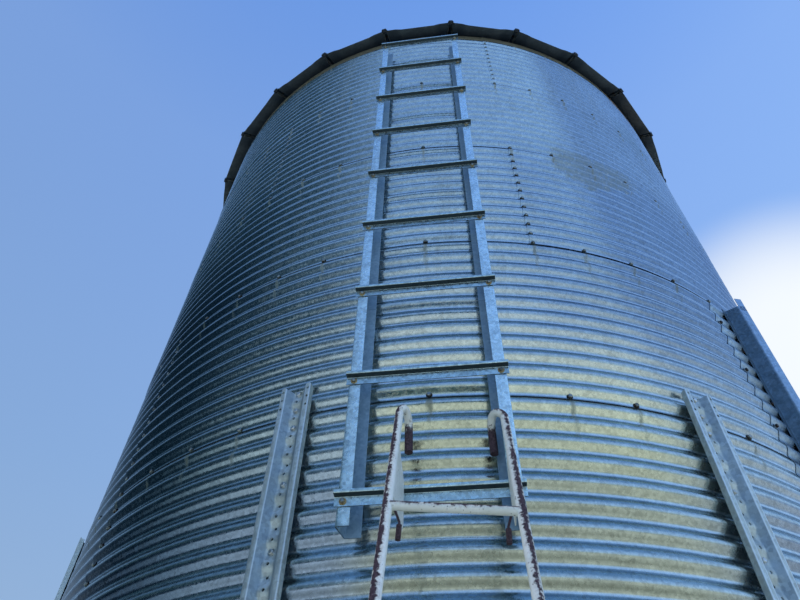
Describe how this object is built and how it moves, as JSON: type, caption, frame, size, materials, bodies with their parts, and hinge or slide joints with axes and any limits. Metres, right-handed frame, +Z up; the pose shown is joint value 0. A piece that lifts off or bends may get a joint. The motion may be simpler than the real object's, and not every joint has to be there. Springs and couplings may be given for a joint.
{
  "type": "grain silo",
  "caption": "Round bolted silo of corrugated galvanised steel with a ribbed cone roof, hopper bottom on legs, walk-in door frame, fixed ladder and a loose ladder leaning on it.",
  "frame": {"origin": "on the ground, under the middle of the whole object's box; the silo's own axis stands 0.588 m towards +Y from it", "axes": "+Z up; -Y is the side with the ladders; +X is to the right as seen from that side"},
  "size_m": [3.854, 5.0056, 7.1121],
  "materials": {
    "wall_steel": "weathered galvanised sheet",
    "roof_steel": "weathered galvanised sheet",
    "hopper_steel": "weathered galvanised sheet",
    "leg_steel": "dull galvanised folded sheet",
    "door_steel": "dark galvanised sheet with rust at the edges",
    "ladder_steel": "bright galvanised",
    "white_paint": "old white paint, flaking to brown rust"
  },
  "bodies": {
    "root": {"wall_ring_1_front": "wall_steel", "wall_ring_1_right": "wall_steel", "wall_ring_1_back": "wall_steel", "wall_ring_1_left": "wall_steel", "wall_ring_2_front": "wall_steel", "wall_ring_2_right": "wall_steel", "wall_ring_2_back": "wall_steel", "wall_ring_2_left": "wall_steel", "wall_ring_3_front": "wall_steel", "wall_ring_3_right": "wall_steel", "wall_ring_3_back": "wall_steel", "wall_ring_3_left": "wall_steel", "wall_ring_4_front": "wall_steel", "wall_ring_4_right": "wall_steel", "wall_ring_4_back": "wall_steel", "wall_ring_4_left": "wall_steel", "wall_ring_5_front": "wall_steel", "wall_ring_5_right": "wall_steel", "wall_ring_5_back": "wall_steel", "wall_ring_5_left": "wall_steel", "roof_front": "roof_steel", "roof_right": "roof_steel", "roof_back": "roof_steel", "roof_left": "roof_steel", "roof_collar": "roof_steel", "fill_lid": "roof_steel", "hopper_front": "hopper_steel", "hopper_right": "hopper_steel", "hopper_back": "hopper_steel", "hopper_left": "hopper_steel", "outlet_spout": "hopper_steel", "slide_gate": "door_steel", "upright_1": "leg_steel", "upright_2": "leg_steel", "upright_3": "leg_steel", "upright_4": "leg_steel", "upright_5": "leg_steel", "upright_6": "leg_steel", "upright_7": "leg_steel", "upright_8": "leg_steel", "door_jamb_left": "door_steel", "door_jamb_right": "door_steel", "door_sill": "door_steel", "door_head": "door_steel", "door_leaf": "door_steel", "ladder_lower": "ladder_steel", "ladder_upper": "ladder_steel", "leaning_ladder": "white_paint"}
  },
  "joints": []
}
